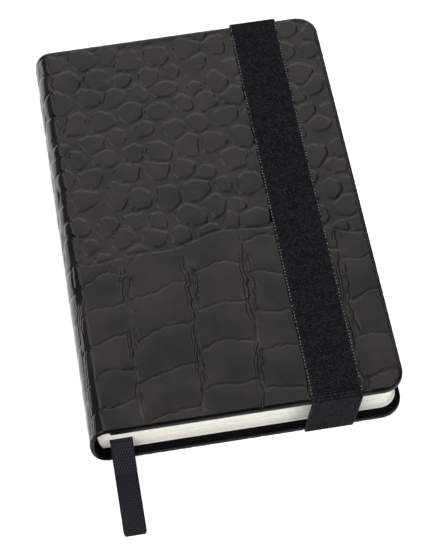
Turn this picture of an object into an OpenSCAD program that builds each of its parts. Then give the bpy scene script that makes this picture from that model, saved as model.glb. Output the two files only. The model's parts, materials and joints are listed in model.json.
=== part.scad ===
// Pocket notebook: a sewn block in a glossy textured case, with an elastic closure and a ribbon.
// Millimetres. +X runs from the spine to the fore-edge, +Y from tail to head, +Z from back to front.
// The origin is the middle of the back cover's outside face, on which the closed book lies.

/* [Case] */
// Outside of the spine to the fore-edge of the boards
cover_width = 90; // [80:0.5:100]
// Tail edge to head edge of the boards
cover_height = 140; // [130:0.5:150]
// Closed book, back face to front face
thickness = 16.4; // [12:0.1:22]
// One cover with everything glued to it
cover_build = 2.4; // [1.8:0.1:3]
// Covering sheet over the boards
skin = 0.45; // [0.3:0.05:0.8]
// Covering sheet where it is pared and turned in over the board edges
turn_in = 0.25; // [0.15:0.05:0.4]
// Width of the turned-in strip on the inside of a board
turn_in_width = 12; // [8:1:16]
// Lining leaf glued to the inside of a board
pastedown = 0.13; // [0.1:0.01:0.2]
// How far the glued leaf stays inside the head and tail edges
pastedown_inset_ends = 2.5; // [1:0.1:5]
// How far the glued leaf stays inside the fore-edge
pastedown_inset_front = 1.3; // [1:0.1:5]
// Corner radius of the covers at the fore-edge
cover_corner = 6.5; // [4:0.5:10]
// Where the boards begin, from the outside of the spine
board_start = 6; // [5.5:0.1:8]

/* [Spine] */
// Depth of the rounded back
spine_depth = 5.5; // [3:0.1:7]
// 2 gives an ellipse, more gives a fuller back
spine_fullness = 2.3; // [2:0.05:3]
// Angle on the rounded back at which each cover hinges
hinge_angle = 50; // [40:1:60]
// Card strip that stiffens the back
spine_card = 0.8; // [0.5:0.1:1.2]

/* [Block] */
// Sewn sections in the block
sections = 12; // [12:1:12]
// One section of eight leaves
section_thickness = 0.89; // [0.8:0.01:0.95]
// Section to section
section_pitch = 0.92; // [0.85:0.01:1]
// Free leaf at each end of the block
flyleaf = 0.12; // [0.1:0.01:0.2]
// Air between a cover and its free leaf
leaf_gap = 0.02; // [0.01:0.01:0.05]
// Room for the ribbon between two sections
ribbon_room = 0.26; // [0.2:0.01:0.4]
// Sections under the ribbon
sections_under_ribbon = 4; // [2:1:8]
// Overhang of the covers at head and tail
square_ends = 3.1; // [1.5:0.1:4]
// Overhang of the covers at the fore-edge
square_front = 1.9; // [1.5:0.1:4]
// Corner radius of the leaves at the fore-edge
leaf_corner = 5; // [3:0.5:8]
// Fold of the middle sections, from the outside of the spine
fold_middle = 2.45; // [2.2:0.05:4]
// How much further in the folds of the outer sections lie
fold_rounding = 1.25; // [0:0.05:2]

/* [Ribbon] */
// Width of the marker ribbon
ribbon_width = 6.5; // [4:0.1:8]
// Ribbon thickness
ribbon_thick = 0.24; // [0.15:0.01:0.35]
// Middle of the ribbon, from the outside of the spine
ribbon_x = 9.0; // [7:0.1:20]
// How far the free end reaches past the tail of the covers
ribbon_reach = 24.4; // [10:0.1:60]
// Where the free end comes down to the table, past the tail of the covers
ribbon_landing = 6; // [4:0.1:10]

/* [Elastic] */
// Width of the elastic on the front
elastic_width = 14.5; // [8:0.1:18]
// Elastic thickness
elastic_thick = 0.9; // [0.6:0.05:1.2]
// Spine-side edge of the elastic on the front, from the outside of the spine
elastic_x = 63; // [50:0.5:75]
// How far the elastic leans back towards the spine on its way round an edge
elastic_lean = 2.1; // [0:0.1:4]
// Air between the elastic and the case
elastic_air = 0.25; // [0.1:0.05:0.4]
// Distance of each slit from the edge of the back cover
slit_y = 8.5; // [6:0.5:14]
// Glued end of the elastic inside the board
elastic_tab = 10.2; // [6:0.1:16]

/* [Hidden] */
$fn = 64;
black = [0.06, 0.06, 0.065];
cream = [0.95, 0.93, 0.87];
board_grey = [0.55, 0.52, 0.47];
mid = thickness / 2;
board_top = cover_build - pastedown;
block_bottom = cover_build + leaf_gap + flyleaf + leaf_gap;
anchor_width = elastic_width - 0.5;
anchor_x = elastic_x - elastic_lean;
ribbon_z = section_z(sections_under_ribbon + 1) - ribbon_room + 0.01;

// ---- curves ----

// Outside of the rounded back: angle -90 is the back joint, 90 the front one
function back_point(t) = [
    spine_depth * (1 - pow(abs(cos(t)), 2 / spine_fullness)),
    mid + mid * sign(t) * pow(abs(sin(t)), 2 / spine_fullness)];

// The same curve, moved inwards by a distance
function back_inset(t, d) = let (
    v = back_point(min(90, t + 0.5)) - back_point(max(-90, t - 0.5)))
    back_point(t) + d * [v[1], -v[0]] / norm(v);

// Fold line of the block at a height
function fold_x(z) = fold_middle + fold_rounding * pow((z - mid) / (mid - cover_build), 2);

// Underside of a section, counted from 1 at the back
function section_z(k) = block_bottom + (k - 1) * section_pitch
    + (k > sections_under_ribbon ? ribbon_room : 0);

// Height of the hanging ribbon's middle at a distance past the tail (negative towards the block)
function ribbon_height(y) = let (
    s = min(1, max(0, (ribbon_landing - y) / (ribbon_landing + square_ends))))
    0.02 + ribbon_thick / 2 + (ribbon_z - 0.02) * s * s * (3 - 2 * s);

// Outline of a strip of one thickness along a line of points
function strip(line, thick) = let (
    n = len(line) - 1,
    side = [for (i = [0:n]) let (v = line[min(n, i + 1)] - line[max(0, i - 1)])
        thick / 2 * [-v[1], v[0]] / norm(v)])
    concat([for (i = [0:n]) line[i] + side[i]], [for (i = [n:-1:0]) line[i] - side[i]]);

// ---- helpers ----

// Everything is drawn from the spine's outside and the tail edge, then centred
module centred() {
    translate([-cover_width / 2, -cover_height / 2, 0]) children();
}

// The front cover is the back one turned over
module turned_over() {
    translate([0, 0, thickness]) mirror([0, 0, 1]) children();
}

// A flat sheet with its two fore-edge corners rounded
module sheet(x0, x1, y0, y1, r, z0, z1) {
    translate([0, 0, z0]) linear_extrude(z1 - z0) union() {
        translate([x0, y0]) square([x1 - x0 - r, y1 - y0]);
        translate([x1 - r - 0.01, y0 + r]) square([r + 0.01, y1 - y0 - 2 * r]);
        translate([x1 - r, y0 + r]) circle(r);
        translate([x1 - r, y1 - r]) circle(r);
    }
}

// A solid from an outline in X and Z, from one Y to another
module along_y(y0, y1, outline) {
    translate([0, y1, 0]) rotate([90, 0, 0]) linear_extrude(y1 - y0) polygon(outline);
}

// A solid from an outline in Y and Z, from one X to another
module along_x(x0, x1, outline) {
    translate([x0, 0, 0]) rotate([90, 0, 90]) linear_extrude(x1 - x0) polygon(outline);
}

// A piece of the rounded back between two angles and two depths
module back_piece(t0, t1, d0, d1, y0, y1) {
    steps = ceil((t1 - t0) / 2.5);
    along_y(y0, y1, concat(
        [for (i = [0:steps]) back_inset(t0 + (t1 - t0) * i / steps, d0)],
        [for (i = [steps:-1:0]) back_inset(t0 + (t1 - t0) * i / steps, d1)]));
}

// A strip that follows the folds of the block, between two distances behind them
module fold_piece(d0, d1, z0, z1, y0, y1) {
    steps = 16;
    along_y(y0, y1, concat(
        [for (i = [0:steps]) let (z = z0 + (z1 - z0) * i / steps) [fold_x(z) - d0, z]],
        [for (i = [steps:-1:0]) let (z = z0 + (z1 - z0) * i / steps) [fold_x(z) - d1, z]]));
}

// The way of the elastic through the back cover at the tail: notch, slit and glued end
module elastic_way(air) {
    x0 = anchor_x - air;
    x1 = anchor_x + anchor_width + air;
    e = elastic_thick - 0.03;
    low = 0.05 - air;
    high = board_top - 0.02 + air;
    along_x(x0, x1, [
        [-1.2 - (air > 0 ? 1 : 0), low], [slit_y + e + air, low], [slit_y + e + air, high - e - 2 * air],
        [slit_y + elastic_tab + air, high - e - 2 * air], [slit_y + elastic_tab + air, high],
        [slit_y - air, high], [slit_y - air, low + e + 2 * air], [-1.2 - (air > 0 ? 1 : 0), low + e + 2 * air]]);
}

// Both ends of the elastic, at the tail and at the head
module both_ends() {
    children();
    translate([0, cover_height, 0]) mirror([0, 1, 0]) children();
}

// ---- one cover, drawn as the back one ----

module cover_board() {
    s = skin;
    sheet(board_start, cover_width - s, s, cover_height - s, cover_corner - s, s, board_top - turn_in);
    translate([board_start, turn_in_width, board_top - turn_in - 0.01])
        cube([cover_width - turn_in_width - board_start, cover_height - 2 * turn_in_width, turn_in + 0.01]);
}

module cover_skin() {
    s = skin;
    difference() {
        sheet(spine_depth, cover_width, 0, cover_height, cover_corner, 0, board_top);
        sheet(spine_depth - 5, cover_width - s, s, cover_height - s, cover_corner - s, s, board_top - turn_in);
        translate([spine_depth - 5, turn_in_width, s])
            cube([cover_width - turn_in_width - spine_depth + 5, cover_height - 2 * turn_in_width, 5]);
        translate([spine_depth - 1, -1, s + turn_in]) cube([board_start - spine_depth + 1, cover_height + 2, 5]);
    }
    // curved part up to the hinge, with its turned-in ends
    back_piece(-90, -hinge_angle, 0, s, 0, cover_height);
    both_ends() {
        back_piece(-90, -hinge_angle - 1, s - 0.02, s + turn_in, 0, turn_in_width);
        translate([spine_depth - 0.02, 0, s - 0.02]) cube([board_start - spine_depth + 0.04, turn_in_width, turn_in + 0.02]);
    }
}

module cover_pastedown() {
    y0 = pastedown_inset_ends;
    x1 = cover_width - pastedown_inset_front;
    sheet(board_start + 0.2, x1, y0, cover_height - y0, cover_corner - y0 / 2, board_top, cover_build);
}

// ---- pieces of the back cover ----

module back_board() {
    color(board_grey) centred() difference() {
        cover_board();
        both_ends() elastic_way(0.05);
    }
}

module back_skin() {
    color(black) centred() difference() {
        cover_skin();
        both_ends() elastic_way(0.05);
    }
}

module back_pastedown() {
    color(cream) centred() cover_pastedown();
}

// ---- pieces of the front cover ----

module front_board() {
    color(board_grey) centred() turned_over() cover_board();
}

module front_skin() {
    color(black) centred() turned_over() cover_skin();
}

module front_pastedown() {
    color(cream) centred() turned_over() cover_pastedown();
}

// ---- the rounded back ----

module spine_skin() {
    a = hinge_angle - 0.4;
    color(black) centred() {
        back_piece(-a, a, 0, skin, 0, cover_height);
        both_ends() {
            back_piece(-a + 3, a - 3, skin - 0.02, skin + spine_card, 0, skin);
            back_piece(-a + 3, a - 3, skin + spine_card - 0.02, skin + spine_card + turn_in, 0, turn_in_width);
        }
    }
}

module spine_strip() {
    a = hinge_angle - 3.4;
    color(board_grey) centred()
        back_piece(-a, a, skin, skin + spine_card - 0.02, skin, cover_height - skin);
}

// ---- the sewn block ----

module leaf_sheet(x0, z0, z1) {
    sheet(x0, cover_width - square_front, square_ends, cover_height - square_ends, leaf_corner, z0, z1);
}

module signature(k) {
    r = section_thickness / 2;
    z = section_z(k);
    x = fold_x(z + r);
    color(cream) centred() {
        leaf_sheet(x + r, z, z + section_thickness);
        translate([x + r, square_ends, z + r]) rotate([-90, 0, 0])
            cylinder(r = r, h = cover_height - 2 * square_ends);
    }
}

module signature_01() { signature(1); }
module signature_02() { signature(2); }
module signature_03() { signature(3); }
module signature_04() { signature(4); }
module signature_05() { signature(5); }
module signature_06() { signature(6); }
module signature_07() { signature(7); }
module signature_08() { signature(8); }
module signature_09() { signature(9); }
module signature_10() { signature(10); }
module signature_11() { signature(11); }
module signature_12() { signature(12); }

module back_flyleaf() {
    z = cover_build + leaf_gap;
    color(cream) centred() leaf_sheet(fold_middle + fold_rounding, z, z + flyleaf);
}

module front_flyleaf() {
    z = thickness - cover_build - leaf_gap;
    color(cream) centred() leaf_sheet(fold_middle + fold_rounding, z - flyleaf, z);
}

// Stitches over the folds at five stations
module sewing_thread() {
    color([0.9, 0.88, 0.82]) centred()
        for (f = [0.07, 0.28, 0.5, 0.72, 0.93])
            fold_piece(0.06, 0.32, 3, 13.3, f * cover_height - 0.2, f * cover_height + 0.2);
}

// Open cloth over the folds
module mull() {
    color([0.86, 0.84, 0.78]) centred() fold_piece(0.35, 0.55, 2.9, 13.4, 8, cover_height - 8);
}

// Paper strip over the cloth
module spine_lining() {
    color([0.8, 0.72, 0.58]) centred() fold_piece(0.57, 0.75, 3.1, 13.2, 14, cover_height - 14);
}

// ---- the ribbon ----

// Glued behind the folds at the head, folded over the end of the block, then down between two sections
module ribbon_inside() {
    head = cover_height - square_ends;
    x0 = ribbon_x - ribbon_width / 2;
    x1 = ribbon_x + ribbon_width / 2;
    z0 = ribbon_z;
    z1 = ribbon_z + ribbon_thick;
    w = ribbon_width / 2;
    d = 0.05 + ribbon_thick;
    low = z0 - w;
    high = z1 + w;
    color(black) centred() {
        translate([x0, square_ends + 0.05, z0]) cube([ribbon_width, cover_height - 2 * square_ends, ribbon_thick]);
        along_y(head + 0.03, head + 0.03 + ribbon_thick, concat(
            [[x0 + 1, z0 - 0.3], [x1, z0], [x1, z1], [x0 + 1, z1 + 0.3]],
            [for (i = [8:-1:0]) let (z = low + (high - low) * i / 8) [fold_x(z) - d, z]]));
        fold_piece(0.05, d, low, high, head - 5, head + 0.03 + ribbon_thick);
    }
}

// Free end: out of the block, over the lip of the back cover and along the table
module ribbon_tail() {
    start = -square_ends + 0.05;
    drop = [for (i = [0:20]) start + (ribbon_landing - start) * i / 20];
    line = concat([for (y = drop) [-y, ribbon_height(y)]], [[-ribbon_reach, ribbon_height(ribbon_reach)]]);
    color(black) centred() difference() {
        along_x(ribbon_x - ribbon_width / 2, ribbon_x + ribbon_width / 2, strip(line, ribbon_thick));
        for (m = [-1, 1]) // clipped corners of the end
            translate([ribbon_x + m * ribbon_width / 2, -ribbon_reach, 0]) rotate([0, 0, 45])
                cube([1, 1, 3], center = true);
    }
}

// ---- the elastic ----

// Over the front cover and round the head and tail edges
module elastic_band() {
    z0 = thickness + elastic_air;
    z1 = z0 + elastic_thick;
    x0 = elastic_x;
    x1 = elastic_x + elastic_width;
    out = elastic_air + elastic_thick;
    foot = 0.95;
    color(black) centred() {
        translate([x0, -out, z0]) cube([elastic_width, cover_height + 2 * out, elastic_thick]);
        both_ends() along_y(-out, -elastic_air, [
            [anchor_x, foot], [anchor_x + 0.45 * elastic_lean, 0.4 * z0], [x0, z0 - 1.5], [x0, z1],
            [x1, z1], [x1, z0 - 3], [x1 - 0.35 * elastic_lean, 0.35 * z0], [anchor_x + anchor_width, foot]]);
    }
}

module elastic_anchor_tail() {
    color(black) centred() elastic_way(0);
}

module elastic_anchor_head() {
    color(black) centred() translate([0, cover_height, 0]) mirror([0, 1, 0]) elastic_way(0);
}

back_board();
back_skin();
back_pastedown();
back_flyleaf();
signature_01();
signature_02();
signature_03();
signature_04();
signature_05();
signature_06();
signature_07();
signature_08();
signature_09();
signature_10();
signature_11();
signature_12();
front_flyleaf();
front_pastedown();
front_board();
front_skin();
spine_strip();
spine_skin();
mull();
spine_lining();
sewing_thread();
ribbon_inside();
ribbon_tail();
elastic_band();
elastic_anchor_head();
elastic_anchor_tail();
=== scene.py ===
"""Pocket notebook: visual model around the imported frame.

Lengths are in millimetres until a mesh is made.
"""

import json
import math

import bpy
import numpy as np
from mathutils import Matrix, Vector


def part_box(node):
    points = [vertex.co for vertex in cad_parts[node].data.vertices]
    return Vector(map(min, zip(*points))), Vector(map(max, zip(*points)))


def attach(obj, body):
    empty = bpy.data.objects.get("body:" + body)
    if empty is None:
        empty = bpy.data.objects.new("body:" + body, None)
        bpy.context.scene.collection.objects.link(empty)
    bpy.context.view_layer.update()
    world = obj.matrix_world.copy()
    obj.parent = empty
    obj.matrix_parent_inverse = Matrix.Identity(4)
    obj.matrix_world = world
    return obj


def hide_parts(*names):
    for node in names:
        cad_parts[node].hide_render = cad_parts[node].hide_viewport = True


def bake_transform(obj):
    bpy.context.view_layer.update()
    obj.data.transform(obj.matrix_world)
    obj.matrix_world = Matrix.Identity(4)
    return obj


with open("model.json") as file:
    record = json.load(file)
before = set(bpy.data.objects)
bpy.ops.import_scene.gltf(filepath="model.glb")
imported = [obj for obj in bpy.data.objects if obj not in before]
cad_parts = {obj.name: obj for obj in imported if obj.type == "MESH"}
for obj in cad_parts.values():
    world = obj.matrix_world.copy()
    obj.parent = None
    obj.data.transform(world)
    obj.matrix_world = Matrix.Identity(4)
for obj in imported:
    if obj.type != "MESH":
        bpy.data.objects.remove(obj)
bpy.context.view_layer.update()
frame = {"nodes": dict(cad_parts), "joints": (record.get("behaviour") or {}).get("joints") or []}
MM = 0.001


def corner(node, end):
    """Lowest (0) or highest (1) corner of a CAD node, in millimetres."""
    return np.array(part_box(node)[end]) / MM


def hinge(name):
    """A joint's position in X and Z, in millimetres."""
    joint = next(j for j in frame["joints"] if j["name"] == name)
    return np.array([joint["pos_m"][0], joint["pos_m"][2]]) / MM


# ---- sizes, the first ones from the frame, the rest given ----

SPINE = corner("spine_skin", 0)[0]  # outside of the rounded back
FORE = corner("front_skin", 1)[0]
TAIL, HEAD = corner("front_skin", 0)[1], corner("front_skin", 1)[1]
TOP = corner("front_skin", 1)[2]
MID = TOP / 2
BOARD_X = corner("front_board", 0)[0]
PLATE = TOP - corner("front_skin", 0)[2]  # cover without its glued leaf
LEAF_FORE = corner("signature_06", 1)[0]
LEAF_TAIL, LEAF_HEAD = corner("signature_06", 0)[1], corner("signature_06", 1)[1]
HINGE_FRONT, HINGE_BACK = hinge("front_cover_hinge"), hinge("spine_tilt")

SPINE_DEPTH = 5.5
SPINE_FULLNESS = 2.3
JOINT_X = SPINE + SPINE_DEPTH
COVER_CORNER = 6.5
LEAF_CORNER = 5.0
EDGE_ROUND = 0.8  # rollover of the skin round a board edge
STEP = 0.42  # grid spacing of the embossed skin
SPLIT_ANGLE = -35  # where the front and back skins meet on the rounded back
SKIN_AT_JOINT = 0.72
SKIN_AT_SPINE = 1.29
# sides of the elastic where it lies on the front cover
STRAP = corner("elastic_band", 0)[0] + 2, corner("elastic_band", 1)[0]


# ---- small helpers ----


def smooth(t):
    t = np.clip(t, 0, 1)
    return t * t * (3 - 2 * t)


def waves(u, v, length, seed):
    """Smooth noise of about -1 to 1, from sines in random directions."""
    rng = np.random.default_rng(seed)
    total = 0
    for _ in range(7):
        a, p, f = rng.uniform(0, 2 * np.pi, 2).tolist() + [rng.uniform(0.6, 1.6)]
        total = total + np.sin((u * np.cos(a) + v * np.sin(a)) * f * 2 * np.pi / length + p)
    return total / 3.5


def mesh_object(name, points, faces, materials, smooth_faces=True, face_materials=None):
    """An object from points in millimetres."""
    mesh = bpy.data.meshes.new(name)
    mesh.from_pydata((np.asarray(points, float) * MM).tolist(), [], faces)
    for m in materials:
        mesh.materials.append(m)
    if face_materials is not None:
        mesh.polygons.foreach_set("material_index", np.asarray(face_materials, np.int32))
    mesh.polygons.foreach_set("use_smooth", [smooth_faces] * len(faces))
    mesh.validate()
    obj = bpy.data.objects.new(name, mesh)
    bpy.context.collection.objects.link(obj)
    return obj


def store(obj, name, values):
    """A number at each point of a mesh, for its material to read."""
    made = obj.data.attributes.new(name, "FLOAT", "POINT")
    made.data.foreach_set("value", np.asarray(values, np.float32))


def grid_faces(rows, cols, first=0, flip=False):
    """Quads of a grid of points stored row by row."""
    r, c = np.meshgrid(np.arange(rows - 1), np.arange(cols - 1), indexing="ij")
    a = (first + r * cols + c).ravel()
    quads = np.stack([a, a + 1, a + cols + 1, a + cols], 1)
    return (quads[:, ::-1] if flip else quads).tolist()


# ---- materials ----


def material(name, color, roughness, **sockets):
    m = bpy.data.materials.new(name)
    m.use_nodes = True
    p = m.node_tree.nodes["Principled BSDF"]
    p.inputs["Base Color"].default_value = (*color, 1)
    p.inputs["Roughness"].default_value = roughness
    for key, value in sockets.items():
        p.inputs[key.replace("_", " ")].default_value = value
    return m


def add(m, kind, **settings):
    """A node with sockets and properties set by name."""
    node = m.node_tree.nodes.new(kind)
    for key, value in settings.items():
        if hasattr(node, key):
            setattr(node, key, value)
        else:
            node.inputs[key.replace("_", " ")].default_value = value
    return node


def link(m, a, b):
    m.node_tree.links.new(a, b)


def coordinates(m, scale=(1, 1, 1), turn=0.0):
    """Object coordinates, scaled and turned about Z."""
    place = add(m, "ShaderNodeMapping")
    place.inputs["Scale"].default_value = scale
    place.inputs["Rotation"].default_value = (0, 0, turn)
    link(m, add(m, "ShaderNodeTexCoord").outputs["Object"], place.inputs["Vector"])
    return place.outputs["Vector"]


def bump(m, height, strength, distance, under=None):
    node = add(m, "ShaderNodeBump", Strength=strength, Distance=distance)
    link(m, height, node.inputs["Height"])
    if under is not None:
        link(m, under, node.inputs["Normal"])
    link(m, node.outputs["Normal"], m.node_tree.nodes["Principled BSDF"].inputs["Normal"])
    return node.outputs["Normal"]


def noise(m, vector, scale, detail=3.0, rough=0.5):
    node = add(m, "ShaderNodeTexNoise", Scale=scale, Detail=detail, Roughness=rough)
    link(m, vector, node.inputs["Vector"])
    return node.outputs["Fac"]


def ramp_to(m, value, socket, low, high, start=0.3, end=0.7):
    """Drives a Principled socket between two values or colours from a pattern."""
    node = add(m, "ShaderNodeValToRGB")
    for stop, place, v in zip(node.color_ramp.elements, (start, end), (low, high)):
        stop.position = place
        stop.color = (*v, 1) if isinstance(v, tuple) else (v, v, v, 1)
    link(m, value, node.inputs["Fac"])
    link(m, node.outputs["Color"], m.node_tree.nodes["Principled BSDF"].inputs[socket])


def stored(m, name):
    """The number that store() put on the mesh."""
    return add(m, "ShaderNodeAttribute", attribute_name=name).outputs["Fac"]


def product(m, a, b):
    node = add(m, "ShaderNodeMath", operation="MULTIPLY")
    link(m, a, node.inputs[0])
    link(m, b, node.inputs[1])
    return node.outputs["Value"]


FOLD_SPACING = 0.9  # between the thin folds in the skin


def fold_lines(m, at):
    """Thin parallel folds along the stored edges of columns of scales."""
    wander = add(m, "ShaderNodeMath", operation="MULTIPLY_ADD")
    link(m, stored(m, "column"), wander.inputs[0])
    wander.inputs[1].default_value = 2 * math.pi / FOLD_SPACING
    shift = add(m, "ShaderNodeMath", operation="MULTIPLY")
    link(m, noise(m, at, 90, 2), shift.inputs[0])
    shift.inputs[1].default_value = 8
    link(m, shift.outputs["Value"], wander.inputs[2])
    wave = add(m, "ShaderNodeMath", operation="SINE")
    link(m, wander.outputs["Value"], wave.inputs[0])
    return product(m, wave.outputs["Value"], stored(m, "folds"))


def leather(name, dark, light, roughness, specular):
    """Glossy leathercloth: clouded colour, uneven gloss, fine grain, wrinkled furrows and folds."""
    m = material(name, dark, roughness, Specular_IOR_Level=specular)
    at = coordinates(m)
    ramp_to(m, noise(m, at, 75, 4, 0.6), "Base Color", dark, light, 0.35, 0.65)
    ramp_to(m, noise(m, at, 260, 4), "Roughness", roughness * 0.75, roughness * 1.45)
    grain = bump(m, noise(m, at, 1500, 4, 0.6), 0.22, 0.0001)
    swell = bump(m, noise(m, at, 330, 2), 0.22, 0.0002, grain)
    upright = coordinates(m, (1, 0.35, 1))
    wrinkle = bump(m, product(m, noise(m, upright, 900, 2, 0.5), stored(m, "furrow")), 0.5, 0.0002, swell)
    bump(m, fold_lines(m, at), 0.7, 0.00008, wrinkle)
    return m


def paper(name, base):
    m = material(name, base, 0.85, Specular_IOR_Level=0.25)
    at = coordinates(m)
    ramp_to(m, noise(m, at, 700, 5), "Base Color", tuple(c * 0.94 for c in base), base)
    bump(m, noise(m, at, 4200, 4, 0.6), 0.25, 0.00004)
    return m


COVER = leather("cover_leather", (0.0010, 0.0010, 0.0022), (0.0175, 0.0155, 0.0130), 0.15, 0.5)
# a darker, navy-tinted and less glossy copy of the same leather for the turned edges and inside faces:
# painted shade on the edges
COVER_EDGE_SHADED = leather("cover_leather_edge_shaded", (0.0010, 0.0008, 0.0040), (0.0022, 0.0018, 0.0030), 0.32, 0.09)
LEAVES = paper("leaf_paper", (0.94, 0.92, 0.84))
ENDPAPER = paper("endpaper", (0.84, 0.81, 0.72))
BOARD = material("binding_board", (0.30, 0.27, 0.22), 0.9)
fibres = noise(BOARD, coordinates(BOARD), 1600, 6, 0.7)
ramp_to(BOARD, fibres, "Base Color", (0.22, 0.19, 0.15), (0.42, 0.38, 0.31))
bump(BOARD, noise(BOARD, coordinates(BOARD), 2500, 5), 0.4, 0.0001)
LINING = paper("kraft_lining", (0.50, 0.40, 0.27))
MULL = material("mull_cloth", (0.78, 0.74, 0.66), 0.9)
THREAD = material("linen_thread", (0.80, 0.77, 0.69), 0.7)


def weave(m, along, across, depth, turn=0.0):
    """Bump of two crossing thread directions, threads per metre."""
    at = coordinates(m, (1, 1, 1), turn)
    sets = []
    for direction, count in (("X", across), ("Y", along)):
        bands = add(m, "ShaderNodeTexWave", bands_direction=direction, Scale=count / 20, Distortion=0.4)
        link(m, at, bands.inputs["Vector"])
        sets.append(bands.outputs["Fac"])
    bump(m, product(m, *sets), 0.6, depth)


weave(MULL, 900, 900, 0.0002)
weave(THREAD, 2500, 2500, 0.0001, 0.6)


def threads(name, gap_shade, crown_sheen, roughness, specular):
    """Woven strap: darker between the raised threads that its mesh stores, as painted shade, and lighter
    on them, as a painted sheen.
    """
    m = material(name, gap_shade, roughness, Specular_IOR_Level=specular)
    at = coordinates(m)
    # painted shade in the gaps and a painted sheen on the crowns, from the stored height
    ramp_to(m, stored(m, "raised"), "Base Color", gap_shade, crown_sheen, 0.25, 1.0)
    ramp_to(m, noise(m, at, 1200, 3), "Roughness", roughness * 0.8, roughness * 1.2)
    bump(m, noise(m, at, 3200, 3), 0.4, 0.0001)
    return m


# dark colours are painted shade between the threads, light ones a painted sheen on their crowns
ELASTIC = threads("elastic_weave", (0.0065, 0.0065, 0.0085), (0.046, 0.046, 0.053), 0.65, 0.03)
RIBBON = threads("ribbon_twill", (0.0034, 0.0030, 0.0120), (0.044, 0.046, 0.046), 0.45, 0.2)
# edge loops coloured light grey: painted glints
PICOT_GLINT = material("picot_glint_thread", (0.30, 0.30, 0.31), 0.5)
bump(PICOT_GLINT, noise(PICOT_GLINT, coordinates(PICOT_GLINT), 3000, 2), 0.3, 0.00005)

for node, m in {
    "back_board": BOARD,
    "front_board": BOARD,
    # the back strip takes the darker edge copy of the leather, painted shade
    "spine_strip": COVER_EDGE_SHADED,
    "mull": MULL,
    "spine_lining": LINING,
    "sewing_thread": THREAD,
    "back_pastedown": ENDPAPER,
    "front_pastedown": ENDPAPER,
}.items():
    for s in frame["nodes"][node].material_slots:
        s.material = m


# ---- the embossed pattern, as one height field over the unrolled case ----
# u runs from the front fore-edge (90) over the spine (about 5 to -15) to the back fore-edge,
# and v from tail to head.

RELIEF = 0.13  # from a furrow up to the shoulder of a scale
DOME = 0.10  # from the shoulder up to the middle
RIM = 0.022  # slight lip round a scale
BORDER = 60  # large scales towards the tail of this, small rounded ones towards the head
HEIGHT = HEAD - TAIL


def small_scales():
    """Centre, radius and width over height of each small rounded scale, on a loose staggered lattice."""
    rng = np.random.default_rng(11)
    rows = []
    for row, v in enumerate(np.arange(BORDER - 13, HEIGHT + 10, 7.9)):
        for u in np.arange(-108 + 4.2 * (row % 2), 100, 8.4):
            rows.append((
                u + rng.uniform(-2.0, 2.0), v + rng.uniform(-2.4, 2.4),
                rng.uniform(3.4, 6.4), rng.uniform(0.78, 1.08),
            ))
    return np.array(rows)


SCALES = small_scales()


def soft_min(values, k):
    low = np.min(values, axis=0)
    return low - k * np.log(sum(np.exp(-(v - low) / k) for v in values))


def small_inside(u, v):
    """Distance inside the outline of the nearest small scale."""
    inside = np.empty_like(u)
    centres = SCALES[:, :2]
    for part in np.array_split(np.arange(len(u)), max(1, len(u) // 8000)):
        p = np.stack([u[part], v[part]], 1)
        d2 = ((p[:, None] - centres[None]) ** 2).sum(2)
        near = np.argpartition(d2, 6, axis=1)[:, :7]
        dn = np.take_along_axis(d2, near, 1)
        order = np.argsort(dn, 1)
        near, dn = np.take_along_axis(near, order, 1), np.take_along_axis(dn, order, 1)
        own = centres[near[:, 0]]
        gaps = [
            (dn[:, i] - dn[:, 0]) / (2 * np.linalg.norm(centres[near[:, i]] - own, axis=1)) - 0.2
            for i in range(1, 7)
        ]
        off = p - own
        radius, stretch = SCALES[near[:, 0], 2:].T
        inside[part] = soft_min(gaps + [radius - np.hypot(off[:, 0] / stretch, off[:, 1])], 0.45)
    return inside


COLUMNS = np.array([-110, -93, -76, -58, -41, -24, -10, 0.5, 16, 34.5, 51, 65, 79, 95.0])
PITCHES = np.array([13, 12, 15, 12, 14, 13, 9, 11, 14, 13.5, 13, 12, 13.5])
OFFSETS = np.array([3, 5, 2, 6, 4, 1, 3, 8, 3.0, 10.0, 6.0, 3.0, 5.5])
SLOPES = np.array([-0.2, -0.15, -0.22, 0.2, 0.25, 0.2, 0.1, 0.22, 0.25, 0.05, -0.1, -0.15, -0.05])


def large_inside(u, v):
    """Distance inside the large four-sided scales, and signed distance from the nearest column edge."""
    u = u - 0.05 * (v - 20)
    k = np.clip(np.searchsorted(COLUMNS, u) - 1, 0, len(PITCHES) - 1)
    left, right = u - COLUMNS[k], COLUMNS[k + 1] - u
    bow = 0.02 * (u - (COLUMNS[k] + COLUMNS[k + 1]) / 2) ** 2
    w = v + bow - SLOPES[k] * (u - (COLUMNS[k] + COLUMNS[k + 1]) / 2) - OFFSETS[k]
    down = np.mod(w, PITCHES[k])
    up = PITCHES[k] - down
    return soft_min([left, right, down, up], 0.6), np.where(left < right, left, -right)


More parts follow.
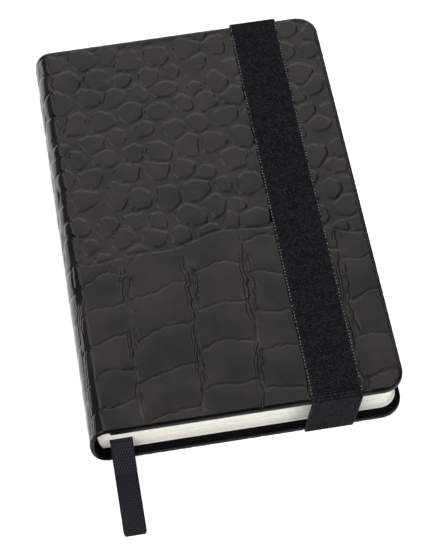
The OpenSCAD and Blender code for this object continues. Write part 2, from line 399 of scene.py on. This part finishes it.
def relief(u, v):
    """Height of the embossing, about 0 at most on a scale, and the marks that the leather reads."""
    shape = u.shape
    u, v = u.ravel(), v.ravel()
    wu = u + 0.8 * waves(u, v, 17, 1) + 0.25 * waves(u, v, 4.5, 2)
    wv = v + 0.8 * waves(u, v, 15, 3) + 0.25 * waves(u, v, 4.0, 4)
    large_side = BORDER + 3.5 * waves(u, 0 * u, 37, 5) - v
    small = small_inside(wu, wv)
    large, column = large_inside(wu, wv)
    inside = np.where(
        large_side < 0, soft_min([small, -large_side], 0.4), soft_min([large, large_side], 0.4)
    )
    swell = np.where(large_side < 0, 3.4, 6.0)
    fade = 0.55 + 0.45 * smooth(0.5 + 0.9 * waves(u, v, 14, 6))
    step = np.where(large_side < 0, RELIEF, 0.7 * RELIEF)
    up = smooth((inside + 0.05) / 0.65)
    dome = np.where(large_side < 0, DOME, 1.6 * DOME)
    height = step * fade * (up - 1) - dome * (1 - np.clip(inside / swell, 0, 1)) ** 2
    height = height + RIM * np.exp(-(((inside - 0.8) / 0.32) ** 2))
    # loose wrinkles down in the furrows
    height = height + (1 - up) * (0.022 * waves(wu, wv, 3.2, 41) + 0.010 * waves(wu, wv, 1.7, 42))
    height = height + 0.012 * waves(u, v, 11, 7) + 0.03 * waves(u, v, 31, 8)
    # where thin folds run along the columns of large scales
    near_column = smooth((2.6 - np.abs(column)) / 1.2)
    folds = near_column * smooth(large_side / 3) * smooth(0.35 + 0.9 * waves(u, v, 23, 21))
    marks = {"furrow": np.clip(1 - up, 0, 1), "column": column, "folds": folds}
    return height.reshape(shape), {name: values.reshape(shape) for name, values in marks.items()}


# ---- covers ----


def back_curve(angles):
    """Points and inward normals of the rounded back in X and Z, from -90 (back joint) to 90 (front)."""
    def point(a):
        a = np.radians(a)
        x = SPINE_DEPTH * (1 - np.abs(np.cos(a)) ** (2 / SPINE_FULLNESS))
        z = MID + MID * np.sign(a) * np.abs(np.sin(a)) ** (2 / SPINE_FULLNESS)
        return np.stack([SPINE + x, z], -1)

    d = point(np.minimum(90, angles + 0.5)) - point(np.maximum(-90, angles - 0.5))
    d /= np.linalg.norm(d, axis=-1, keepdims=True)
    return point(angles), np.stack([d[:, 1], -d[:, 0]], 1)


def even_curve(first):
    """The rounded back from an angle to the front joint at even steps, with its length run."""
    fine = np.linspace(first, 90, 1200)
    p, _ = back_curve(fine)
    run = np.concatenate([[0], np.cumsum(np.linalg.norm(np.diff(p, axis=0), axis=1))])
    count = int(round(run[-1] / STEP))
    angles = np.interp(np.linspace(0, run[-1], count + 1), run, fine)
    return angles, np.linspace(0, run[-1], count + 1)


def rows_with_corners(low, high, radius, step):
    """Y values that follow a corner arc evenly at both ends."""
    arc = radius * (1 - np.cos(np.linspace(0, np.pi / 2, int(radius * 1.57 / step) + 1)))
    middle = np.linspace(low + radius, high - radius, int((high - low - 2 * radius) / step))
    return np.concatenate([low + arc[:-1], middle, (high - arc[:-1])[::-1]])


def corner_pull(y, low, high, radius):
    """How far the fore-edge is pulled back at Y by the rounded corners."""
    d = np.minimum(y - low, high - y)
    return np.where(d < radius, radius - np.sqrt(np.maximum(radius**2 - (radius - d) ** 2, 0)), 0)


def cover_skin(name, first_angle, back):
    """One half of the case: a cover with its part of the rounded back, as a closed embossed shell.
    It is drawn as the front cover, and turned over for the back one."""
    angles, run = even_curve(first_angle)
    curve, normal = back_curve(angles)
    r = EDGE_ROUND
    y = rows_with_corners(TAIL + r, HEAD - r, COVER_CORNER - r, STEP)
    flat = int((FORE - r - JOINT_X) / STEP)
    share = np.linspace(0, 1, flat + 1)[1:]
    edge_x = FORE - r - corner_pull(y, TAIL + r, HEAD - r, COVER_CORNER - r)
    nc, ny = len(angles), len(y)
    cols = nc + flat
    x, z = np.empty((cols, ny)), np.empty((cols, ny))
    nx, nz = np.zeros((cols, ny)), -np.ones((cols, ny))
    x[:nc], z[:nc] = curve[:, :1], curve[:, 1:]
    nx[:nc], nz[:nc] = normal[:, :1], normal[:, 1:]
    x[nc:] = JOINT_X + share[:, None] * (edge_x - JOINT_X)[None]
    z[nc:] = TOP
    yy = np.broadcast_to(y, (cols, ny))
    # unrolled coordinate
    across = np.where(np.arange(cols)[:, None] < nc, 0, x - JOINT_X)
    across[:nc] = (run - run[-1])[:, None]
    whole = even_curve(-90)[1][-1]
    u = SPINE_DEPTH - whole - across if back else SPINE_DEPTH + across
    h, marks = relief(u, yy - TAIL)
    if not back:  # pressed flat under the elastic
        h = np.where((x > STRAP[0] - 1) & (x < STRAP[1] + 1), np.minimum(h, 0), h)
    rim = np.minimum.reduce([yy - TAIL - r, HEAD - r - yy, (edge_x[None] - x) + 0 * x])
    h = h * (0.4 + 0.6 * smooth(rim / 1.6))
    if back:  # nothing stands below the rest face, and the elastic runs in notches
        h = np.where(x > SPINE + 2, np.minimum(h, 0), h)
        lo, hi = corner("elastic_anchor_tail", 0), corner("elastic_anchor_tail", 1)
        notch = (x > lo[0] - 0.2) & (x < hi[0] + 0.2) & (np.minimum(yy - TAIL, HEAD - yy) < 9.6)
        h = np.where(notch, -0.93, h)
    outer = np.stack([x - h * nx, yy, z - h * nz], -1)
    # thickness of the case along the section
    along = np.where(np.arange(cols) < nc, curve[np.minimum(np.arange(cols), nc - 1), 0], x[:, ny // 2])
    thick = SKIN_AT_JOINT + (PLATE - SKIN_AT_JOINT) * smooth((along - BOARD_X + 0.2) / 0.6)
    into_spine = smooth((curve[:, 0] - HINGE_FRONT[0] + 0.1) / -0.7)
    thick[:nc] = np.maximum(thick[:nc], SKIN_AT_JOINT + (SKIN_AT_SPINE - SKIN_AT_JOINT) * into_spine)
    # rim loop: tail edge, fore-edge, head edge
    loop = [(i, 0) for i in range(cols)]
    loop += [(cols - 1, j) for j in range(1, ny)]
    loop += [(i, ny - 1) for i in range(cols - 2, -1, -1)]
    li, lj = np.array(loop).T
    out = np.zeros((len(loop), 3))
    out[li < cols - 1, 1] = np.where(lj[li < cols - 1] == 0, -1, 1)
    at_fore = li == cols - 1
    d_low, d_high = y[lj] - TAIL - r, HEAD - r - y[lj]
    rr = COVER_CORNER - r
    c = np.clip(1 - np.minimum(d_low, d_high) / rr, 0, 1)
    out[at_fore, 0] = np.sqrt(1 - c[at_fore] ** 2)
    out[at_fore, 1] = (np.where(d_low < d_high, -1, 1) * c)[at_fore]
    deep = np.stack([nx[li, lj], 0 * nx[li, lj], nz[li, lj]], 1)
    base = np.stack([x[li, lj], y[lj], z[li, lj]], 1)
    rim_h = h[li, lj]
    th = thick[li]
    low_round = 0.3
    rings = []
    for a in np.radians([18, 36, 54, 72, 90]):
        drop = r * (1 - np.cos(a)) - rim_h * np.cos(a) ** 2
        if back:
            drop = np.where(rim_h < -0.9, r * 0.3 * (1 - np.cos(a)) + 0.93, drop)
        uneven = waves(base[:, 0] * 3 + 7 * base[:, 1], base[:, 0], 9, 31)
        reach = r * np.sin(a) + 0.05 * uneven * np.sin(a) ** 2
        rings.append(base + reach[:, None] * out + drop[:, None] * deep)
    for b in np.radians([0, 45, 90]):
        drop = np.maximum(th - low_round * (1 - np.sin(b)), r)
        rings.append(base + (r - low_round * (1 - np.cos(b))) * out + drop[:, None] * deep)
    n_loop, n_outer = len(loop), cols * ny
    points = np.concatenate([outer.reshape(-1, 3)] + rings)
    faces = grid_faces(cols, ny)
    kinds = [0] * len(faces)
    ids = [li * ny + lj] + [n_outer + k * n_loop + np.arange(n_loop) for k in range(len(rings))]
    # rings past the first take the darker edge copy of the leather, painted shade on the turned edges
    for k, (a, b) in enumerate(zip(ids, ids[1:])):
        quads = np.stack([a[:-1], a[1:], b[1:], b[:-1]], 1)
        faces += quads[:, ::-1].tolist()
        kinds += [1 if k >= 1 else 0] * len(quads)
    # inside: long strips from tail to head, one flat face at the fore-edge
    last = ids[-1]
    tail_side, head_side = last[:cols], last[: -cols - 1 : -1]
    strips = np.stack([tail_side[:-1], tail_side[1:], head_side[1:], head_side[:-1]], 1)
    faces += strips[:, ::-1].tolist()
    kinds += [1] * len(strips)
    faces.append(last[cols - 1 : cols - 1 + ny].tolist()[::-1])
    kinds.append(1)
    # the cut end on the rounded back
    end = [k[0] for k in ids] + [k[-1] for k in ids[::-1]]
    faces.append(end + (np.arange(ny - 2, 0, -1)).tolist())
    kinds.append(1)
    if back:
        points[:, 2] = TOP - points[:, 2]
        faces = [f[::-1] for f in faces]
    obj = mesh_object(name, points, faces, [COVER, COVER_EDGE_SHADED], True, kinds)
    for mark, values in marks.items():
        store(obj, mark, np.concatenate([values.ravel(), np.tile(values[li, lj], len(rings))]))
    return obj


def place(x, z, y=0.0):
    return (x * MM, y * MM, z * MM)


front = cover_skin("front_case_skin", SPLIT_ANGLE, False)
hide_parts("front_skin", "spine_skin")
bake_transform(front)
back = cover_skin("back_case_skin", -SPLIT_ANGLE, True)
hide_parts("back_skin")
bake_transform(back)


# ---- leaves ----


def leaf_stack(name, low, high, fold, leaves, mat, seed, folded=True):
    """A section drawn as separate leaves with slightly uneven edges, folded at the spine."""
    rng = np.random.default_rng(seed)
    near = np.concatenate([[0, 0.15, 0.45], np.arange(0.9, 16, 0.55), [20, 30, 42, 54, 66]])
    rows = rows_with_corners(LEAF_TAIL, LEAF_HEAD, LEAF_CORNER, 0.8)
    arc = int(LEAF_CORNER * 1.57 / 0.8) + 1
    edge_rows = np.concatenate([rows[:arc], np.linspace(rows[arc], rows[-arc - 1], 24), rows[-arc:]])
    pitch = (high - low) / leaves
    thick = pitch * 0.93
    points, faces = [], []
    half = (high - low) / 2
    for i in range(leaves):
        z0 = low + i * pitch + (pitch - thick) / 2
        from_mid = abs(z0 + thick / 2 - (low + high) / 2)
        start = fold + (half - math.sqrt(max(half**2 - from_mid**2, 0)) if folded else 0)
        pull, tail, head = rng.uniform(0, 0.1, 3) * [1, 0.5, 0.5]
        edge = LEAF_FORE - pull - corner_pull(edge_rows, LEAF_TAIL, LEAF_HEAD, LEAF_CORNER)
        xs = start + near
        xs = np.append(xs[xs < edge[0] - 1], edge[0])
        n = len(xs)
        outline = (
            [(x, LEAF_TAIL + tail) for x in xs]
            + list(zip(edge[1:-1], np.clip(edge_rows[1:-1], LEAF_TAIL + tail, LEAF_HEAD - head)))
            + [(x, LEAF_HEAD - head) for x in xs[::-1]]
        )
        m = len(outline)
        first = len(points)
        for z in (z0, z0 + thick):
            points += [(x, y, z) for x, y in outline]
        for k, flip in ((0, True), (1, False)):
            o = first + k * m
            made = [[o + a, o + a + 1, o + m - 2 - a, o + m - 1 - a] for a in range(n - 1)]
            made.append(list(range(o + n - 1, o + m - n + 1)))
            faces += [f[::-1] for f in made] if flip else made
        for a in range(m):
            b = (a + 1) % m
            faces.append([first + a, first + b, first + m + b, first + m + a])
    return mesh_object(name, points, faces, [mat], False)


for k in range(1, 13):
    node = f"signature_{k:02d}"
    lo, hi = corner(node, 0), corner(node, 1)
    section = leaf_stack(f"leaves_{k:02d}", lo[2], hi[2], lo[0], 8, LEAVES, 100 + k)
    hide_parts(node)
    if k <= 8:
        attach(section, "back_cover")
    else:
        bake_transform(section)
for side in ("back", "front"):
    node = f"{side}_flyleaf"
    lo, hi = corner(node, 0), corner(node, 1)
    leaf = leaf_stack(f"{side}_free_leaf", lo[2], hi[2], lo[0], 1, ENDPAPER, 90 + len(side), False)
    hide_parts(node)
    if side == "back":
        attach(leaf, "back_cover")
    else:
        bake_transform(leaf)


# ---- strips: elastic and ribbon ----


def even_path(line, step):
    """Points at even steps along a line, with the length run to each."""
    run = np.concatenate([[0], np.cumsum(np.linalg.norm(np.diff(line, axis=0), axis=1))])
    s = np.linspace(0, run[-1], int(run[-1] / step) + 1)
    return np.stack([np.interp(s, run, line[:, i]) for i in range(line.shape[1])], 1), s


def rounded(line, rounds=2):
    """Corners cut smoothly, ends kept."""
    for _ in range(rounds):
        a, b = line[:-1] * 0.75 + line[1:] * 0.25, line[:-1] * 0.25 + line[1:] * 0.75
        inner = np.stack([a, b], 1).reshape(-1, line.shape[1])
        line = np.concatenate([line[:1], inner[1:-1], line[-1:]])
    return line


EDGE_SHARE = 0.955  # a strap's edges are rounded outside this share of its half-width


def strip_mesh(name, path, side, thick, t, height_of, mat):
    """A strap along a centre line. side holds the half-width vectors. height_of(s, t) gives how far up
    the weave is on the upper face, from 0 to 1, and the depth of the weave."""
    centre, s = path
    along = np.gradient(centre, axis=0)
    up = np.cross(side, along)
    up /= np.linalg.norm(up, axis=1, keepdims=True)
    n, m = len(centre), len(t)
    ss, tt = np.meshgrid(s, t, indexing="ij")
    raised, depth = height_of(ss, tt)
    past = np.maximum(np.abs(tt) - EDGE_SHARE, 0) / (1.0028 - EDGE_SHARE)
    round_off = thick / 2 * np.sqrt(np.clip(1 - past**2, 0.02, 1))
    h = raised * depth
    at = centre[:, None] + tt[..., None] * side[:, None]
    upper = at + (round_off + h)[..., None] * up[:, None]
    few = [0, 1, 2, m // 2, m - 3, m - 2, m - 1]  # the underside is smooth
    lower = (at - round_off[..., None] * up[:, None])[:, few]
    points = np.concatenate([upper.reshape(-1, 3), lower.reshape(-1, 3)])
    faces = grid_faces(n, m) + grid_faces(n, len(few), n * m, True)
    over = np.arange(n * m).reshape(n, m)
    under = n * m + np.arange(n * len(few)).reshape(n, -1)
    for a, b in ((over[:, 0], under[:, 0]), (under[:, -1], over[:, -1])):
        faces += np.stack([a[:-1], a[1:], b[1:], b[:-1]], 1).tolist()
    faces += [under[0].tolist() + over[0, ::-1].tolist(), over[-1].tolist() + under[-1, ::-1].tolist()]
    obj = mesh_object(name, points, faces, [mat])
    store(obj, "raised", np.concatenate([raised.ravel(), np.full(lower.shape[0] * lower.shape[1], 0.6)]))
    return obj, up


band_hi = corner("elastic_band", 1)
foot_lo, foot_hi = corner("elastic_anchor_tail", 0), corner("elastic_anchor_tail", 1)
BAND_THICK = 0.78
BAND_WIDTH = 14.5
TOP_MID = band_hi[0] - BAND_WIDTH / 2  # middle of the run over the front cover
FOOT_MID = (foot_lo[0] + foot_hi[0]) / 2
HUG = 0.06  # from the cover to the strap
under_z = 0.13 + BAND_THICK / 2  # the weave still clears the table
wrap = EDGE_ROUND + HUG + BAND_THICK / 2  # radius of the strap's middle round the cover's edge
out_y = HEAD - EDGE_ROUND + wrap
over_z = TOP - EDGE_ROUND + wrap
SLIT = 9.0


def bend(y, z, radius, first, last, x):
    """Points of an arc in Y and Z, angles from +Y."""
    angles = np.radians(np.linspace(first, last, 7))
    return [[x, y + radius * math.cos(a), z + radius * math.sin(a)] for a in angles]


end_line = np.array(
    [[FOOT_MID, HEAD - SLIT, 1.9], [FOOT_MID, HEAD - SLIT, under_z], [FOOT_MID, HEAD - 4, under_z]]
    + bend(out_y - 0.7, under_z + 0.7, 0.7, -90, 0, FOOT_MID + 0.1)
    + [[FOOT_MID + 1.0, out_y, 7]]
    + bend(out_y - wrap, over_z - wrap, wrap, 0, 90, TOP_MID)
    + [[TOP_MID, HEAD - 6, over_z]]
)
mirrored = end_line[::-1] * [1, -1, 1]
loop_line = rounded(np.concatenate([end_line, mirrored]), 1)
centre, run = even_path(loop_line, 0.24)
half = np.where(centre[:, 2] < 2, 7.0, 7.25)
side = np.zeros_like(centre)
side[:, 0] = -half


CORD, PICK = 0.72, 0.76  # size of one woven bump across the strap and along it
PICOTS = 1.1  # from one edge loop to the next
loose = np.random.default_rng(61)
UNEVEN = loose.uniform(0.5, 1.0, (97, 89))  # no two bumps stand out the same
OFFSET = np.cumsum(loose.uniform(0.3, 0.7, 997))  # and no two rows sit the same way


def elastic_weave(s, t):
    """Rows of rounded bumps, each row set off from the last, with a plain heavier border."""
    row = s / PICK
    cord = t * BAND_WIDTH / 2 / CORD + OFFSET[row.astype(int) % 997] % 1 + 50
    bumps = (np.abs(np.sin(cord * np.pi) * np.sin(row * np.pi))) ** 0.7
    bumps = bumps * UNEVEN[row.astype(int) % 97, cord.astype(int) % 89]
    border = smooth((np.abs(t) - 0.9) / 0.03)
    bumps = bumps * (1 - border) + border * (0.25 + 0.5 * np.abs(np.sin(row * np.pi)))
    # stretched flatter where it runs down the ends of the book; the same lower value darkens its colour
    # there, as painted shade
    return bumps * np.interp(s, run, np.where(np.abs(centre[:, 1]) > HEAD, 0.8, 1.0)), 0.11


elastic, lift = strip_mesh(
    "elastic_closure", (centre, run), side, BAND_THICK, np.linspace(-1, 1, 103), elastic_weave, ELASTIC
)


def beads(name, places, size, mat):
    """Small rounded stitches, each an eight-sided bead."""
    shape = np.array([[1, 0, 0], [-1, 0, 0], [0, 1, 0], [0, -1, 0], [0, 0, 1], [0, 0, -1.0]])
    tri = [[0, 2, 4], [2, 1, 4], [1, 3, 4], [3, 0, 4], [2, 0, 5], [1, 2, 5], [3, 1, 5], [0, 3, 5]]
    points, faces = [], []
    for i, p in enumerate(places):
        points += (p + shape * size).tolist()
        faces += [[a + 6 * i for a in f] for f in tri]
    return mesh_object(name, points, faces, [mat])


# picot loops only on the run over the front cover, light grey as painted glints
shown = centre[:, 2] > over_z - 0.8
places = []
rng = np.random.default_rng(5)
for edge in (-0.97, 0.97):
    for i in np.searchsorted(run, np.arange(run[shown][0], run[shown][-1], PICOTS)):
        if rng.random() < 0.8:
            proud = lift[i] * (BAND_THICK / 2 + 0.04)
            places.append(centre[i] + side[i] * edge + proud + rng.uniform(-0.06, 0.06, 3))
picots = beads("elastic_picot_glints", np.array(places), [0.2, 0.3, 0.17], PICOT_GLINT)
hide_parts("elastic_band", "elastic_anchor_head", "elastic_anchor_tail")
for piece in (elastic, picots):
    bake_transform(piece)

rib_lo, rib_hi = corner("ribbon_tail", 0), corner("ribbon_tail", 1)
RIBBON_THICK = 0.24
RIBBON_X = (rib_lo[0] + rib_hi[0]) / 2
RIBBON_HALF = (rib_hi[0] - rib_lo[0]) / 2
GAP_Z = rib_hi[2] - RIBBON_THICK / 2
TIP_Y = rib_lo[1]
LANDING = 6.0
ys = np.linspace(LEAF_TAIL, TAIL - LANDING, 24)
drop = smooth((ys - (TAIL - LANDING)) / (LEAF_TAIL - TAIL + LANDING))
ON_TABLE = RIBBON_THICK / 2 + 0.03  # height of the ribbon's middle where it lies
free = np.stack([RIBBON_X + 0 * ys, ys, ON_TABLE + (GAP_Z - ON_TABLE) * drop], 1)
fold_x = corner("mull", 0)[0]
turned = np.array([
    [fold_x + 0.75, LEAF_HEAD - 4.8, GAP_Z], [fold_x + 0.75, LEAF_HEAD - 1.5, GAP_Z],
    [fold_x + 1.0, LEAF_HEAD + 0.2, GAP_Z + 0.1], [SPINE + 5, LEAF_HEAD + 0.45, GAP_Z + 0.1],
    [RIBBON_X, LEAF_HEAD + 0.4, GAP_Z], [RIBBON_X, LEAF_HEAD - 1.5, GAP_Z],
    [RIBBON_X, LEAF_TAIL + 1, GAP_Z],
])
line = np.concatenate([rounded(turned, 2), free, [[RIBBON_X, TIP_Y, ON_TABLE]]])
rib_centre, rib_run = even_path(line, 0.3)
twist = smooth((rib_centre[:, 0] - fold_x - 1.0) / 4.2) * np.pi / 2
rib_side = np.stack([-np.sin(twist), 0 * twist, np.cos(twist)], 1) * RIBBON_HALF
tip = np.minimum(1, 0.86 + (rib_run[-1] - rib_run) / 0.9 * 0.14)
rib_side *= tip[:, None]


def ribbon_weave(s, t):
    """Fine steep twill with a firm dark edge."""
    twill = 0.5 + 0.5 * np.cos((0.55 * s - t * RIBBON_HALF) * 2 * np.pi / 0.8)
    inner = smooth((0.93 - np.abs(t)) / 0.05)
    return inner * (0.15 + 0.85 * twill * (0.7 + 0.3 * np.sin(s * 2 * np.pi / 0.9))), 0.03


ribbon, _ = strip_mesh(
    "marker_ribbon", (rib_centre, rib_run), rib_side, RIBBON_THICK, np.linspace(-1, 1, 61),
    ribbon_weave, RIBBON,
)
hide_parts("ribbon_tail", "ribbon_inside")
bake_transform(ribbon)


# ---- stage, light and camera ----


def stage_floor():
    mesh = bpy.data.meshes.new("floor")
    s = 40.0
    mesh.from_pydata([(-s, -s, 0), (s, -s, 0), (s, s, 0), (-s, s, 0)], [], [(0, 1, 2, 3)])
    obj = bpy.data.objects.new("floor", mesh)
    bpy.context.collection.objects.link(obj)
    m = material("floor_white", (0.92, 0.92, 0.92), 0.9, Specular_IOR_Level=0.1)
    p = m.node_tree.nodes["Principled BSDF"]
    p.inputs["Emission Color"].default_value = (1, 1, 1, 1)
    p.inputs["Emission Strength"].default_value = 0.65
    mesh.materials.append(m)


def softbox(name, azimuth, elevation, distance, width, height, radiance, color=(1, 1, 1)):
    """An area light towards the notebook. Azimuth is from +Y towards +X.
    Radiance is how bright the light looks in a mirror."""
    a, e = math.radians(azimuth), math.radians(elevation)
    at = Vector((math.sin(a) * math.cos(e), math.cos(a) * math.cos(e), math.sin(e))) * distance
    lamp = bpy.data.lights.new(name, "AREA")
    lamp.shape, lamp.size, lamp.size_y = "RECTANGLE", width, height
    lamp.energy = radiance * math.pi * width * height
    lamp.color = color
    obj = bpy.data.objects.new(name, lamp)
    obj.location = at
    obj.rotation_euler = (at - Vector((0, 0, 0.008))).to_track_quat("Z", "Y").to_euler()
    bpy.context.collection.objects.link(obj)


stage_floor()
SKY = (1, 0.985, 0.955)
# a tall soft light behind the notebook, in strips that get dimmer upwards
for elevation, radiance in ((26, 1.12), (38, 0.90), (50, 0.68), (62, 0.56), (74, 0.36), (86, 0.20)):
    softbox(f"sky_{elevation}", 6, elevation, 1.8, 1.25, 0.38, radiance, SKY)
softbox("sky_left", -34, 52, 1.8, 0.3, 1.3, 1.1, SKY)
softbox("front_left", -128, 38, 1.6, 1.0, 1.0, 3.6)
softbox("front_right", 128, 38, 1.6, 1.0, 1.0, 3.6)
world = bpy.data.worlds.new("studio")
world.use_nodes = True
world.node_tree.nodes["Background"].inputs["Color"].default_value = (1, 0.98, 0.96, 1)
world.node_tree.nodes["Background"].inputs["Strength"].default_value = 0.16
bpy.context.scene.world = world
bpy.context.scene.view_settings.view_transform = "Standard"

camera = bpy.data.cameras.new("camera")
camera.sensor_width = 36
camera.lens = 129.5
eye = Vector((-40.56, -344.56, 492.41)) * MM
aim = Vector((-2.45, -17.5, 8.0)) * MM
camera_object = bpy.data.objects.new("camera", camera)
turn = (aim - eye).to_track_quat("-Z", "Y").to_matrix().to_4x4()
camera_object.matrix_world = Matrix.Translation(eye) @ turn @ Matrix.Rotation(math.radians(-3.03), 4, "Z")
camera.clip_start = 0.01
bpy.context.collection.objects.link(camera_object)
bpy.context.scene.camera = camera_object
